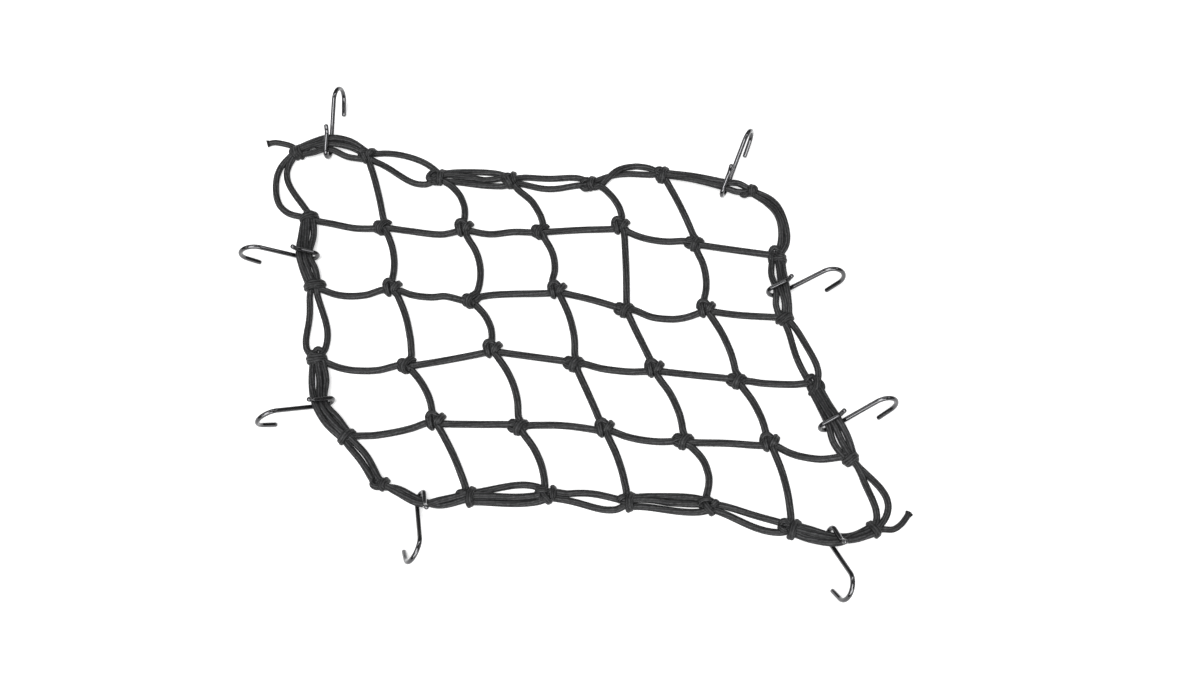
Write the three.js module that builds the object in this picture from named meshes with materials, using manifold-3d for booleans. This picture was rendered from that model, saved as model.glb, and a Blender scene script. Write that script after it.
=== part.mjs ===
// Elastic cargo net: a hand-knotted mesh of round shock cord, laid out slack on a flat surface,
// with eight bent-wire hooks clipped round the cords of its rim.
// Millimetres, +Z up. The net and the hooks rest on the plane z = 0.

import * as THREE from 'three';
import { mergeVertices } from 'three/addons/utils/BufferGeometryUtils.js';
import Module from 'manifold-3d';

// ---- driving sizes -------------------------------------------------------------------------------

const cordDiameter = 4.8;
const columnPitch = 62; // from one knot to the next along a row
const rowPitch = 60; // from one row of knots to the next
const rowLean = 16; // each row lies this much further to the right than the row above it
const columnFall = 5; // each column starts this much lower than the one on its left
const rowCount = 6;
const columnCount = 7;

const wireDiameter = 3.6;
const hookSizes = {
  shank: 41, // straight run from the clip's bend to the big bend
  bendRadius: 10.5, // big bend, to the middle of the wire
  bendSweep: 172, // degrees
  tipLeg: 12,
  clipRadius: 5.4, // small bend that goes round the rim's cords
  clipLeg: 14.5,
  clipClose: 2, // degrees by which the clip's leg leans to the shank
  flareLeg: 5.5,
  flareAngle: 24, // degrees by which the clip's end turns away from the shank
};

const cordSides = 5;
const wireSides = 8;
// A round section with flat sides is as wide on average as the round one.
const cornerRadius = (diameter, sides) => diameter / (1 + Math.cos(Math.PI / sides));
const restingHeight = cornerRadius(cordDiameter, cordSides) * Math.cos(Math.PI / cordSides);
const knotHeight = 3; // middle of a cord where it enters a knot

// ---- where the knots lie -------------------------------------------------------------------------

// How far each knot has strayed from the even lattice, in millimetres.
const knotDrift = [
  { row: 'top', x: [1, -3, -5, -9, -7, -11, -2], y: [8, 9, -7, -6, -4, 11, -1] },
  { row: 'second', x: [0, -2, 0, 0, 1, -2, 1], y: [4, -1, 3, 5, 15, 4, -3] },
  { row: 'third', x: [-7, -8, -7, -3, -12, -11, -12], y: [0, 2, -4, 10, -2, 3, 0] },
  { row: 'fourth', x: [-15, -8, -6, -5, -6, -5, -9], y: [-5, -7, 12, 5, 5, 0, 1] },
  { row: 'fifth', x: [-5, -1, 0, 2, -1, 1, -2], y: [-12, 5, 6, 9, 4, 7, 0] },
  { row: 'bottom', x: [7, 10, 6, 3, 1, -2, -4], y: [8, 3, 10, 9, 11, -2, 2] },
];

function knotPlace(row, column) {
  const rowsDown = row - (rowCount - 1) / 2;
  const columnsAcross = column - (columnCount - 1) / 2;
  return new THREE.Vector2(
    columnsAcross * columnPitch + rowsDown * rowLean + knotDrift[row].x[column],
    -rowsDown * rowPitch - columnsAcross * columnFall + knotDrift[row].y[column],
  );
}

// ---- how the single cords of the mesh bow --------------------------------------------------------

// One pair for each cord: its sideways bow at a third and at two thirds of its run,
// to the left of someone walking to the right along a row, or down a column.
const rowBows = [
  { row: 1, bows: [[-3, -3], [-2, -5], [-3, 0], [0, 1], [-5, -3], [1, 1]] },
  { row: 2, bows: [[-6, -6], [-2, 1], [4, 1], [1, 2], [-4, -8], [0, -1]] },
  { row: 3, bows: [[-7, -4], [-1, 0], [0, 1], [-1, -3], [1, 1], [1, 0]] },
  { row: 4, bows: [[-3, -2], [0, 1], [3, 2], [-3, -3], [0, 0], [-5, -3]] },
];
const columnBows = [
  { column: 1, bows: [[2, 2], [5, 4], [6, 7], [4, 4], [3, 3]] },
  { column: 2, bows: [[8, 8], [8, 9], [5, 6], [7, 6], [5, 4]] },
  { column: 3, bows: [[4, 8], [5, 3], [5, 5], [1, 1], [3, 3]] },
  { column: 4, bows: [[9, 10], [4, 3], [2, 2], [4, 6], [7, 7]] },
  { column: 5, bows: [[3, 4], [4, 3], [4, 5], [4, 4], [4, 4]] },
];

// ---- the rim -------------------------------------------------------------------------------------

// The rim is walked clockwise from the top left corner, so its outer side is always on the left.
// Each row is one stretch of two or three cords between two knots. bows are a cord's sideways places,
// outwards, at a quarter, a half and three quarters of the stretch. Where a hook is clipped on, its
// place and the height of the cords inside it set the middle, and bows are halfway to it and past it.
const rimStretches = [
  { from: [0, 0], to: [0, 1], hook: 'hook_top_left', hookAt: 0.47, bows: [[8.5, 11], [4, 6], [-1, -3]] },
  { from: [0, 1], to: [0, 2], bows: [[9.5, 11.5, 10], [-3, -8, -11]] },
  { from: [0, 2], to: [0, 3], bows: [[7, 8, 8], [1.5, 1.5, 2], [-3.5, -4.5, -4.5]] },
  { from: [0, 3], to: [0, 4], bows: [[5.5, 5, 6], [-3, -5, -2]] },
  { from: [0, 4], to: [0, 5], bows: [[3, 10.5, 10.5], [5, 5, 3]] },
  { from: [0, 5], to: [0, 6], hook: 'hook_top_right', hookAt: 0.72, bows: [[2.5, 2], [-3, -4.5]] },
  { from: [0, 6], to: [1, 6], bows: [[16, 18, 14.5], [10.5, 12.5, 9]] },
  { from: [1, 6], to: [2, 6], hook: 'hook_right_upper', hookAt: 0.6, bows: [[4, 5], [-1, 0], [-6.5, -6]] },
  { from: [2, 6], to: [3, 6], bows: [[6, 8, 8.5], [-1.5, -3, -3]] },
  { from: [3, 6], to: [4, 6], hook: 'hook_right_lower', hookAt: 0.55, bows: [[3.5, 5], [-1.5, -1], [-6, -7]] },
  { from: [4, 6], to: [5, 6], bows: [[8.5, 15.5, 15], [3.5, 6, 6]] },
  { from: [5, 6], to: [5, 5], hook: 'hook_bottom_right', hookAt: 0.56, bows: [[11, 10.5], [6, 5], [1.5, 0]] },
  { from: [5, 5], to: [5, 4], bows: [[6, 5.5, 3], [-3, -3.5, -4]] },
  { from: [5, 4], to: [5, 3], bows: [[5, 4, 3], [-1.5, -2, -2.5], [-7, -7.5, -7]] },
  { from: [5, 3], to: [5, 2], bows: [[7, 5, 2.5], [-4, -5, -3.5]] },
  { from: [5, 2], to: [5, 1], bows: [[5.5, 5.5, 4], [0, 0, -1], [-9, -8.5, -6]] },
  { from: [5, 1], to: [5, 0], hook: 'hook_bottom_left', hookAt: 0.57, bows: [[9.5, 5.5], [4, 1]] },
  { from: [5, 0], to: [4, 0], bows: [[2.5, 2.5, 2.5], [-3, -4.5, -4]] },
  { from: [4, 0], to: [3, 0], hook: 'hook_left_lower', hookAt: 0.4, bows: [[10.5, 10], [5, 4], [0, -1.5]] },
  { from: [3, 0], to: [2, 0], bows: [[8.5, 5.5, 4], [-8, -7.5, -4]] },
  { from: [2, 0], to: [1, 0], hook: 'hook_left_upper', hookAt: 0.41, bows: [[7, 6.5], [2, 1.5], [-3.5, -4]] },
  { from: [1, 0], to: [0, 0], bows: [[18, 21.5, 18.5], [1, 9, 9.5]] },
];
const laneWidth = 3.8; // between two cords of the rim where they enter a knot

// Two cut ends of cord stick out of opposite corners.
const looseEnds = [
  { knot: [0, 0], steps: [[-11, 10], [-25, 9.5]] },
  { knot: [5, 6], steps: [[14, 1], [21, 6], [27, 14]] },
];

// ---- the knots -----------------------------------------------------------------------------------

// A knot is a lump of turns of cord. Its turns show as ridges, which run up the knot before it is
// turned. across is a ridge's place to the right of the knot's middle, height is its crest's.
const knotStyles = {
  round: { turn: -36, ridges: [{ across: -4, height: 8.4 }, { across: 1.8, height: 11 }] },
  cross: { turn: -30, ridges: [{ across: -3.8, height: 8.8 }, { across: 2.2, height: 11 }] },
  arch: { turn: -14, ridges: [{ across: -2.8, height: 10.4 }, { across: 3.2, height: 9.6 }] },
  band: { turn: 0, ridges: [{ across: -4.2, height: 8.4 }, { across: 1.6, height: 11.2 }] },
  slant: { turn: -55, ridges: [{ across: -4, height: 8.6 }, { across: 1.3, height: 11.2 }] },
};
const knotHalfWidth = 6.8;
const knotLength = 13.6;
const knotTaper = { run: 2, inset: 1.2 }; // how a knot draws in towards the two ends of its ridges
const crestWidth = 2.2;
const grooveDepth = 2.2;
const shoulderHeight = 6.2;

const rimKnots = [
  { at: [0, 0], style: 'band', turn: -14 },
  { at: [0, 1], style: 'arch', turn: -10 },
  { at: [0, 2], style: 'band', turn: 12 },
  { at: [0, 3], style: 'arch', turn: 10 },
  { at: [0, 4], style: 'band', turn: 6 },
  { at: [0, 5], style: 'band', turn: -12 },
  { at: [0, 6], style: 'band', turn: -8 },
  { at: [1, 6], style: 'arch', turn: -70 },
  { at: [2, 6], style: 'slant', turn: -52 },
  { at: [3, 6], style: 'arch', turn: -20 },
  { at: [4, 6], style: 'slant', turn: -48 },
  { at: [5, 6], style: 'slant', turn: 34 },
  { at: [5, 5], style: 'band', turn: -20 },
  { at: [5, 4], style: 'arch', turn: 30 },
  { at: [5, 3], style: 'band', turn: 0 },
  { at: [5, 2], style: 'arch', turn: -4 },
  { at: [5, 1], style: 'band', turn: -4 },
  { at: [5, 0], style: 'band', turn: -24 },
  { at: [4, 0], style: 'slant', turn: -46 },
  { at: [3, 0], style: 'slant', turn: -80 },
  { at: [2, 0], style: 'slant', turn: -88 },
  { at: [1, 0], style: 'slant', turn: -80 },
];
const crossKnots = [[1, 5], [2, 4], [3, 3], [3, 5], [4, 2], [4, 4]];

function styleInside(row, column) {
  if (crossKnots.some(([r, c]) => r === row && c === column)) return 'cross';
  return (row + column) % 2 ? 'arch' : 'round';
}

// ---- where the hooks lie -------------------------------------------------------------------------

// x, y: the clip's bend. heading: which way the shank points. lean: how far the hook tips over to its
// right from upright. A hook lies on its clip's bend and its tip, with the shank rising between them.
const hookPlaces = [
  { name: 'hook_top_left', x: -197.5, y: 175.5, heading: 85, lean: 12 },
  { name: 'hook_top_right', x: 124.7, y: 136.9, heading: 65, lean: 2 },
  { name: 'hook_right_upper', x: 162.5, y: 38, heading: 11, lean: 8 },
  { name: 'hook_right_lower', x: 195.5, y: -79.5, heading: 17, lean: 5 },
  { name: 'hook_left_upper', x: -208, y: 71, heading: 188, lean: 6 },
  { name: 'hook_left_lower', x: -186, y: -60.5, heading: 209, lean: 8 },
  { name: 'hook_bottom_left', x: -111, y: -142, heading: -81, lean: 36 },
  { name: 'hook_bottom_right', x: 188.5, y: -171.5, heading: -72, lean: 30 },
];
const clipSpacing = 5.3; // between the cords inside a clip, along its shank
const firstInClip = 1.5; // the innermost cord, past the start of the shank

// ---- shapes --------------------------------------------------------------------------------------

const degrees = Math.PI / 180;

// A curve that is only known at its stations, so that straight runs take one step and bends take many.
class StationCurve extends THREE.Curve {
  constructor(stations) {
    super();
    this.stations = stations;
  }

  at(u) {
    return Math.round(u * (this.stations.length - 1));
  }

  getPointAt(u, target = new THREE.Vector3()) {
    return target.copy(this.stations[this.at(u)]);
  }

  getPoint(u, target) {
    return this.getPointAt(u, target);
  }

  getTangentAt(u, target = new THREE.Vector3()) {
    const here = this.at(u);
    const before = this.stations[Math.max(here - 1, 0)];
    const after = this.stations[Math.min(here + 1, this.stations.length - 1)];
    const middle = this.stations[here];
    const incoming = middle.clone().sub(before).normalize();
    return target.copy(after).sub(middle).normalize().add(incoming).normalize();
  }
}

// The same for a cord, whose section keeps one flat side down all the way.
class CordCurve extends StationCurve {
  computeFrenetFrames(steps) {
    const frames = { tangents: [], normals: [], binormals: [] };
    for (let step = 0; step <= steps; step += 1) {
      const tangent = this.getTangentAt(step / steps);
      const down = new THREE.Vector3(0, 0, -1).projectOnPlane(tangent).normalize();
      frames.tangents.push(tangent);
      frames.normals.push(down);
      frames.binormals.push(new THREE.Vector3().crossVectors(tangent, down));
    }
    return frames;
  }
}

function ringShape(diameter, sides) {
  const shape = new THREE.Shape();
  const radius = cornerRadius(diameter, sides);
  for (let side = 0; side < sides; side += 1) {
    const angle = ((side + 0.5) / sides) * 2 * Math.PI;
    const corner = [radius * Math.cos(angle), radius * Math.sin(angle)];
    if (side === 0) shape.moveTo(...corner);
    else shape.lineTo(...corner);
  }
  shape.closePath();
  return shape;
}

function tube(path, diameter, sides) {
  return new THREE.ExtrudeGeometry(ringShape(diameter, sides), {
    extrudePath: path,
    steps: path.stations.length - 1,
    bevelEnabled: false,
  });
}

function cord(stations) {
  return tube(new CordCurve(stations), cordDiameter, cordSides);
}

// Stations on a smooth line through the points, at these shares of its length.
function alongPoints(points, shares) {
  const line = new THREE.CatmullRomCurve3(points, false, 'centripetal');
  return shares.map((share) => line.getPointAt(share));
}

// The place beside the straight line from a to b, at a share of its length and so far to its left.
function beside(a, b, share, offset, height) {
  const run = b.clone().sub(a);
  const left = new THREE.Vector2(-run.y, run.x).normalize();
  const place = a.clone().addScaledVector(run, share).addScaledVector(left, offset);
  return new THREE.Vector3(place.x, place.y, height);
}

function meshCord(a, b, [early, late]) {
  const points = [
    beside(a, b, 0, 0, knotHeight),
    beside(a, b, 1 / 3, early, restingHeight),
    beside(a, b, 2 / 3, late, restingHeight),
    beside(a, b, 1, 0, knotHeight),
  ];
  const line = new THREE.CatmullRomCurve3(points, false, 'centripetal');
  const stations = [0, 0.3, 0.7, 1].map((share) => line.getPointAt(share));
  stations.slice(1, -1).forEach((station) => station.setZ(restingHeight));
  return cord(stations);
}

function rimCord(stretch, index) {
  const { bows, hook, hookAt } = stretch;
  const a = knotPlace(...stretch.from);
  const b = knotPlace(...stretch.to);
  const lane = ((bows.length - 1) / 2 - index) * laneWidth;
  const ends = [beside(a, b, 0, lane, knotHeight), beside(a, b, 1, lane, knotHeight)];
  if (!hook) {
    const inner = bows[index].map((bow, step) => beside(a, b, (step + 1) / 4, bow, restingHeight));
    const isThird = bows.length === 3 && index > 0;
    const shares = isThird ? [0, 0.3, 0.7, 1] : [0, 0.22, 0.5, 0.78, 1];
    const stations = alongPoints([ends[0], ...inner, ends[1]], shares);
    stations.slice(1, -1).forEach((station) => station.setZ(restingHeight));
    return cord(stations);
  }
  const inClip = clipPlace(hook, bows.length - 1 - index);
  const rise = (knotHeight + inClip.z) / 2 + 0.5;
  const inner = [
    beside(a, b, hookAt / 2, bows[index][0], rise),
    inClip,
    beside(a, b, (1 + hookAt) / 2, bows[index][1], rise),
  ];
  const points = [ends[0], ...inner, ends[1]];
  return cord(points);
}

function looseEnd({ knot, steps }) {
  const root = knotPlace(...knot);
  const points = [new THREE.Vector3(root.x, root.y, knotHeight)];
  steps.forEach(([x, y]) => points.push(new THREE.Vector3(root.x + x, root.y + y, restingHeight)));
  return cord(points);
}

function knotOutline(ridges) {
  const points = [[-knotHalfWidth, 0], [-knotHalfWidth, shoulderHeight]];
  ridges.forEach(({ across, height }, index) => {
    if (index > 0) {
      const before = ridges[index - 1];
      points.push([(before.across + across) / 2, Math.min(before.height, height) - grooveDepth]);
    }
    points.push([across - crestWidth / 2, height], [across + crestWidth / 2, height]);
  });
  points.push([knotHalfWidth, shoulderHeight], [knotHalfWidth, 0]);
  return new THREE.Shape(points.map(([x, z]) => new THREE.Vector2(x, z)));
}

function knot(place, style, turn = knotStyles[style].turn) {
  const straight = knotLength - 2 * knotTaper.run;
  const geometry = new THREE.ExtrudeGeometry(knotOutline(knotStyles[style].ridges), {
    depth: straight,
    bevelThickness: knotTaper.run,
    bevelSize: knotTaper.inset,
    bevelOffset: -knotTaper.inset,
    bevelSegments: 1,
  });
  geometry.rotateX(Math.PI / 2);
  geometry.translate(0, straight / 2, 0);
  geometry.rotateZ(turn * degrees);
  geometry.translate(place.x, place.y, 0);
  return geometry;
}

// ---- the hooks -----------------------------------------------------------------------------------

// A hook's middle line in its own plane: x along the shank, y towards the clip's side.
function hookLine() {
  const { shank, bendRadius, bendSweep, tipLeg, clipRadius, clipLeg, clipClose } = hookSizes;
  const { flareLeg, flareAngle } = hookSizes;
  const bendSteps = 7;
  const clipSteps = 6;
  const clip = [];
  for (let step = clipSteps; step >= 0; step -= 1) {
    const angle = ((180 + clipClose) * degrees * step) / clipSteps;
    clip.push(new THREE.Vector2(-clipRadius * Math.sin(angle), clipRadius * (1 - Math.cos(angle))));
  }
  const legTurn = clipClose * degrees;
  const legEnd = new THREE.Vector2(Math.cos(legTurn), -Math.sin(legTurn)).multiplyScalar(clipLeg).add(clip[0]);
  const flareTurn = flareAngle * degrees;
  const flareEnd = new THREE.Vector2(Math.cos(flareTurn), Math.sin(flareTurn)).multiplyScalar(flareLeg).add(legEnd);
  const bend = [];
  for (let step = 0; step <= bendSteps; step += 1) {
    const angle = (bendSweep * degrees * step) / bendSteps;
    bend.push(new THREE.Vector2(shank + bendRadius * Math.sin(angle), bendRadius * (Math.cos(angle) - 1)));
  }
  const sweep = bendSweep * degrees;
  const tip = new THREE.Vector2(Math.cos(sweep), -Math.sin(sweep)).multiplyScalar(tipLeg).add(bend.at(-1));
  return { clip: [flareEnd, legEnd, ...clip], bend: [...bend, tip] };
}

// The axes of a hook that lies on its clip's bend and its tip, and the height of its shank's start.
function hookFrame({ x, y, heading, lean }) {
  const { clip, bend } = hookLine();
  const lowest = (points, pitch) => Math.min(
    ...points.map((p) => p.x * Math.sin(pitch) + p.y * Math.cos(lean * degrees) * Math.cos(pitch)),
  );
  let pitch = 30 * degrees;
  for (let change = 16 * degrees; change > 1e-5; change /= 2) {
    pitch += lowest(bend, pitch) < lowest(clip, pitch) ? change : -change;
  }
  const forward = new THREE.Vector3(Math.cos(heading * degrees), Math.sin(heading * degrees), 0);
  const right = new THREE.Vector3(Math.sin(heading * degrees), -Math.cos(heading * degrees), 0);
  const along = forward.clone().multiplyScalar(Math.cos(pitch)).setZ(Math.sin(pitch));
  const upright = forward.clone().multiplyScalar(-Math.sin(pitch)).setZ(Math.cos(pitch));
  const up = upright.multiplyScalar(Math.cos(lean * degrees)).addScaledVector(right, -Math.sin(lean * degrees));
  const origin = new THREE.Vector3(x, y, cornerRadius(wireDiameter, wireSides) - lowest(clip, pitch));
  return { origin, along, up };
}

function inFrame({ origin, along, up }, point) {
  return origin.clone().addScaledVector(along, point.x).addScaledVector(up, point.y);
}

// The middle of a cord inside a clip, counted from the clip's bend outwards.
function clipPlace(hookName, count) {
  const frame = hookFrame(hookPlaces.find(({ name }) => name === hookName));
  return inFrame(frame, new THREE.Vector2(firstInClip + count * clipSpacing, hookSizes.clipRadius + 0.2));
}

function hook(place) {
  const frame = hookFrame(place);
  const { clip, bend } = hookLine();
  const stations = [...clip, ...bend].map((point) => inFrame(frame, point));
  return tube(new StationCurve(stations), wireDiameter, wireSides);
}

// ---- joining the net -----------------------------------------------------------------------------

const wasm = await Module();
wasm.setup();

function solid(geometry) {
  const bare = geometry.clone();
  bare.deleteAttribute('normal');
  bare.deleteAttribute('uv');
  const merged = mergeVertices(bare, 1e-4);
  const vertProperties = new Float32Array(merged.attributes.position.array);
  const triVerts = new Uint32Array(merged.index.array);
  return new wasm.Manifold(new wasm.Mesh({ numProp: 3, vertProperties, triVerts }));
}

function bufferGeometry(manifold) {
  const { vertProperties, triVerts } = manifold.getMesh();
  const geometry = new THREE.BufferGeometry();
  geometry.setAttribute('position', new THREE.BufferAttribute(new Float32Array(vertProperties), 3));
  geometry.setIndex(new THREE.BufferAttribute(new Uint32Array(triVerts), 1));
  geometry.computeVertexNormals();
  return geometry;
}

function netGeometry() {
  const cords = [];
  rowBows.forEach(({ row, bows }) => bows.forEach((bow, column) => {
    cords.push(meshCord(knotPlace(row, column), knotPlace(row, column + 1), bow));
  }));
  columnBows.forEach(({ column, bows }) => bows.forEach((bow, row) => {
    cords.push(meshCord(knotPlace(row, column), knotPlace(row + 1, column), bow));
  }));
  rimStretches.forEach((stretch) => stretch.bows.forEach((bow, index) => cords.push(rimCord(stretch, index))));
  looseEnds.forEach((end) => cords.push(looseEnd(end)));

  const knots = rimKnots.map(({ at, style, turn }) => knot(knotPlace(...at), style, turn));
  for (let row = 1; row < rowCount - 1; row += 1) {
    for (let column = 1; column < columnCount - 1; column += 1) {
      knots.push(knot(knotPlace(row, column), styleInside(row, column)));
    }
  }
  return bufferGeometry([...cords, ...knots].map(solid).reduce((whole, piece) => whole.add(piece)));
}

// ---- the object ----------------------------------------------------------------------------------

const cordMaterial = new THREE.MeshStandardMaterial({ color: 0x26272a, roughness: 0.85, metalness: 0 });
const wireMaterial = new THREE.MeshStandardMaterial({ color: 0x1b1c1f, roughness: 0.18, metalness: 0.9 });

const group = new THREE.Group();

const net = new THREE.Mesh(netGeometry(), cordMaterial);
net.name = 'net';
group.add(net);

hookPlaces.forEach((place) => {
  const mesh = new THREE.Mesh(hook(place), wireMaterial);
  mesh.name = place.name;
  group.add(mesh);
});

// The origin is the middle of the footprint, on the surface.
const box = new THREE.Box3().setFromObject(group);
const centre = box.getCenter(new THREE.Vector3());
group.position.set(-centre.x, -centre.y, 0);

export default group;
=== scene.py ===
import bpy, bmesh, math, random
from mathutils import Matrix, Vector
from mathutils.geometry import interpolate_bezier


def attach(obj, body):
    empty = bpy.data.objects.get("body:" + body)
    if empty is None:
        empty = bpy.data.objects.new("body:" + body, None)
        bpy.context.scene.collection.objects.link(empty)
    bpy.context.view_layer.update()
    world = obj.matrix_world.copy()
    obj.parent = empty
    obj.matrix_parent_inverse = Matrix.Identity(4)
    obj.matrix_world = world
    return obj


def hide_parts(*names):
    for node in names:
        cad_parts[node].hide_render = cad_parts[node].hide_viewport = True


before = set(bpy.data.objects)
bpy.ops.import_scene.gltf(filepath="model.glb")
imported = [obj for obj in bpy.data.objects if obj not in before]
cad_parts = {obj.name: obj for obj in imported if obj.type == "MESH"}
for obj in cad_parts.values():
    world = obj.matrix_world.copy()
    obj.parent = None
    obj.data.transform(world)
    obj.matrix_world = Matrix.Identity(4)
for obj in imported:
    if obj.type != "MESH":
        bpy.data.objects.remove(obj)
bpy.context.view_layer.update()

# Places below are in millimetres on the net's own lattice, and this puts them in the part's frame.
layout = {
    "shiftX": 4.293, "shiftY": -1.781,  # from the lattice's middle to the middle of the footprint
    "columnPitch": 62, "rowPitch": 60,
    "rowLean": 16,  # each row lies this much further right than the row above it
    "columnFall": 5,  # each column starts this much lower than the one on its left
}


def spot(x, y, z=0.0):
    return Vector((x + layout["shiftX"], y + layout["shiftY"], z)) / 1000


# camera, floor and light

view = {"target": (23, 0, 0), "elevation": 60, "distance": 1400, "lens": 54.4, "sensor": 36}

camera = bpy.data.objects.new("camera", bpy.data.cameras.new("camera"))
bpy.context.collection.objects.link(camera)
tilt = math.radians(view["elevation"])
towards = Vector((0, -math.cos(tilt), math.sin(tilt)))
camera.location = spot(*view["target"]) + towards * view["distance"] / 1000
camera.rotation_euler = (math.pi / 2 - tilt, 0, 0)
camera.data.lens = view["lens"]
camera.data.sensor_width = view["sensor"]
camera.data.sensor_fit = "HORIZONTAL"
bpy.context.scene.camera = camera

studio = {
    "world": (0.97, 0.98, 1.0, 1), "worldStrength": 0.16,
    "sunPower": 2.9, "sunAngle": 34, "sunTilt": (24, -9),  # degrees
    "floor": (0.88, 0.88, 0.88, 1), "floorGlow": 0.55, "floorRoughness": 0.9,
    "floorReach": 60, "floorDrop": 0.0002,  # metres
}
softboxes = [  # they only give the glossy wire its bright lines
    {"name": "front", "at": (0.1, -1.7, 1.0), "size": (2.6, 0.9), "power": 60},
    {"name": "overhead", "at": (-0.1, 0.6, 1.5), "size": (2.2, 0.22), "power": 14},
    {"name": "leftStrip", "at": (-1.3, 0.1, 1.0), "size": (2.0, 0.25), "power": 4},
    {"name": "rightStrip", "at": (1.3, 0.2, 1.1), "size": (2.0, 0.25), "power": 4},
]


def makeStudio():
    world = bpy.data.worlds.new("studio")
    bpy.context.scene.world = world
    world.use_nodes = True
    sky = world.node_tree.nodes["Background"]
    sky.inputs["Color"].default_value = studio["world"]
    sky.inputs["Strength"].default_value = studio["worldStrength"]
    bpy.context.scene.view_settings.view_transform = "Standard"
    key = bpy.data.lights.new("key", "SUN")
    key.energy = studio["sunPower"]
    key.angle = math.radians(studio["sunAngle"])
    sun = bpy.data.objects.new("key", key)
    sun.rotation_euler = (*map(math.radians, studio["sunTilt"]), 0)
    bpy.context.collection.objects.link(sun)
    for box in softboxes:
        light = bpy.data.lights.new(box["name"], "AREA")
        light.shape = "RECTANGLE"
        light.size, light.size_y = box["size"]
        light.energy = box["power"]
        lamp = bpy.data.objects.new(box["name"], light)
        lamp.location = box["at"]
        lamp.visible_diffuse = False
        lamp.rotation_euler = (-Vector(box["at"])).to_track_quat("-Z", "Y").to_euler()
        bpy.context.collection.objects.link(lamp)
    bm = bmesh.new()
    bmesh.ops.create_grid(bm, x_segments=1, y_segments=1, size=studio["floorReach"])
    bmesh.ops.translate(bm, verts=bm.verts, vec=(0, 0, -studio["floorDrop"]))
    mesh = bpy.data.meshes.new("floor")
    bm.to_mesh(mesh)
    bm.free()
    floor = bpy.data.objects.new("floor", mesh)
    floor.visible_diffuse = False  # so the cords keep their dark undersides
    bpy.context.collection.objects.link(floor)
    paper = bpy.data.materials.new("palePaper")
    paper.use_nodes = True
    skin = paper.node_tree.nodes["Principled BSDF"]
    skin.inputs["Base Color"].default_value = studio["floor"]
    skin.inputs["Roughness"].default_value = studio["floorRoughness"]
    skin.inputs["Emission Color"].default_value = (1, 1, 1, 1)
    skin.inputs["Emission Strength"].default_value = studio["floorGlow"]
    mesh.materials.append(paper)


makeStudio()
print("studio and camera set")


# materials

def node(tree, kind, **settings):
    made = tree.nodes.new(kind)
    for name, value in settings.items():
        if hasattr(made, name):
            setattr(made, name, value)
        else:
            made.inputs[name].default_value = value
    return made


def calc(tree, operation, *values):
    made = tree.nodes.new("ShaderNodeMath")
    made.operation = operation
    for index, value in enumerate(values):
        if isinstance(value, (int, float)):
            made.inputs[index].default_value = value
        else:
            tree.links.new(value, made.inputs[index])
    return made.outputs[0]


sheath = {
    "ribs": 7,  # knitted ribs round the cord
    "twist": 0.07,  # turns for each girth of length
    "stitches": 17,  # in one girth of length
    "stitchLean": 1.6,  # how far a rib's stitches point ahead at its middle
    "ribEdge": 1.5,  # higher makes the ribs narrower
    "wanderScale": 140, "wander": 0.09,  # the ribs stray from their places
    "wearLeast": 0.35, "wearSpread": 0.9,  # some ribs are worn lighter than others
    "cloudScale": 420, "cloudGain": 3.2, "cloudLevel": -0.95,
    # dark is the cord's own colour, and it is also painted as shade into the grooves between ribs and
    # stitches
    "dark": (0.005, 0.0051, 0.0055, 1),
    "light": (0.1, 0.101, 0.104, 1),
    "fleck": (0.22, 0.22, 0.225, 1),
    "fleckScale": 1000, "fleckFrom": 0.6, "fleckTo": 0.78, "fleckShare": 0.3,
    "relief": 0.9, "reliefDepth": 0.00035,  # metres
    "roughness": 0.6, "specular": 0.2,
}


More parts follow.
